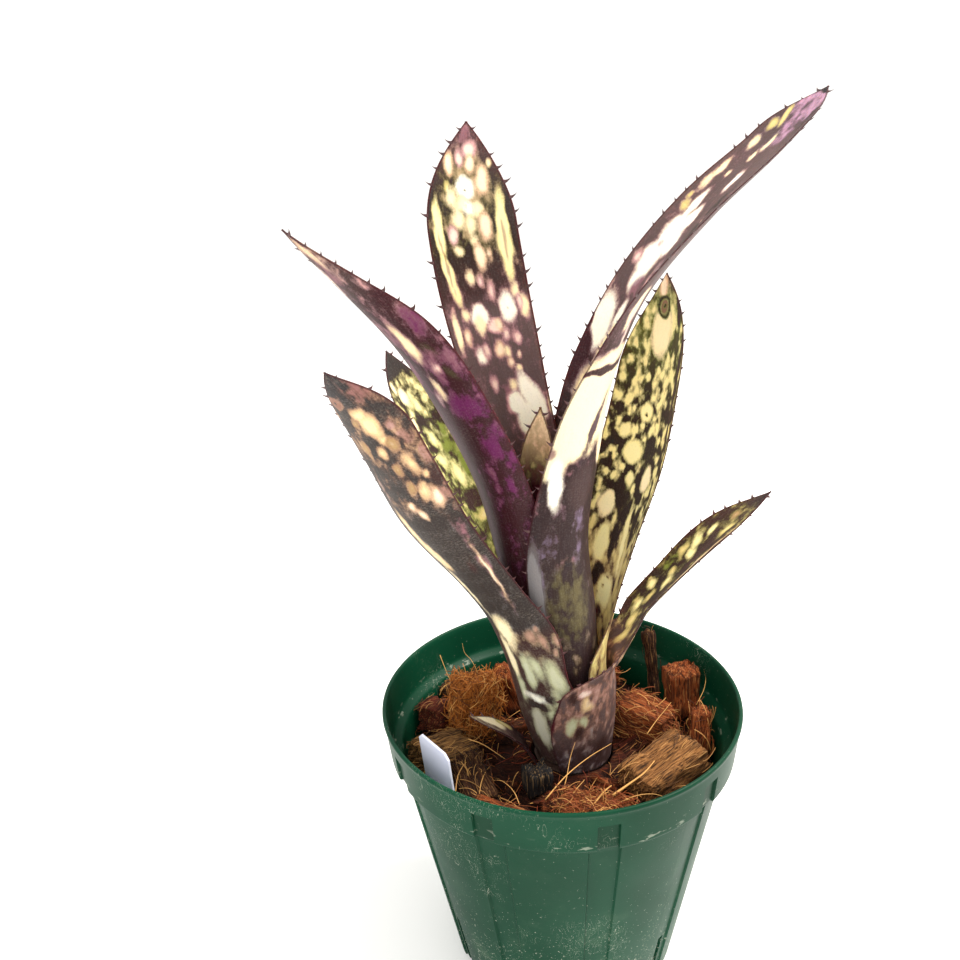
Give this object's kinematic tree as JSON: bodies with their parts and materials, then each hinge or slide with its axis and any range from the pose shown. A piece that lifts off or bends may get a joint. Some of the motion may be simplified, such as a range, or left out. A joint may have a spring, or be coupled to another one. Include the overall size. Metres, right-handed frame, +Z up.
{
  "type": "potted bromeliad",
  "caption": "Upright tubular bromeliad with arching, spotted, spiny leaves, growing in coarse husk chips in a round tapered nursery pot with a blank tag.",
  "frame": {"origin": "centre of the pot's underside", "axes": "+Z up through the pot and the plant; -Y towards the camera; +X to the right in the picture"},
  "size_m": [0.1903, 0.1498, 0.3588],
  "materials": {
    "pot": "satin green polypropylene",
    "potting_mix": "coarse coconut husk chips and fibre",
    "label": "smooth white plastic",
    "stem": "firm plant tissue, hidden in the tube",
    "leaf_right_low": "stiff living leaf, dark brown with yellow-green spots",
    "leaf_left_low": "stiff living leaf, grey scurf bands and peach blotches",
    "leaf_right_back": "stiff living leaf, yellow-cream with a dark net",
    "leaf_left_back": "stiff living leaf, yellow-cream and maroon",
    "leaf_right_arch": "stiff living leaf, purple-grey with white patches",
    "leaf_left_arch": "stiff living leaf, magenta and maroon",
    "leaf_tall_back": "stiff living leaf, maroon with cream spots",
    "leaf_heart": "young leaf, tan",
    "leaf_basal": "short leaf, mauve with a cream margin"
  },
  "bodies": {
    "root": {"pot": "pot", "potting_mix": "potting_mix", "label": "label", "stem": "stem", "leaf_right_low": "leaf_right_low", "leaf_left_low": "leaf_left_low", "leaf_right_back": "leaf_right_back", "leaf_left_back": "leaf_left_back", "leaf_right_arch": "leaf_right_arch", "leaf_left_arch": "leaf_left_arch", "leaf_tall_back": "leaf_tall_back", "leaf_heart": "leaf_heart", "leaf_basal": "leaf_basal"}
  },
  "joints": []
}
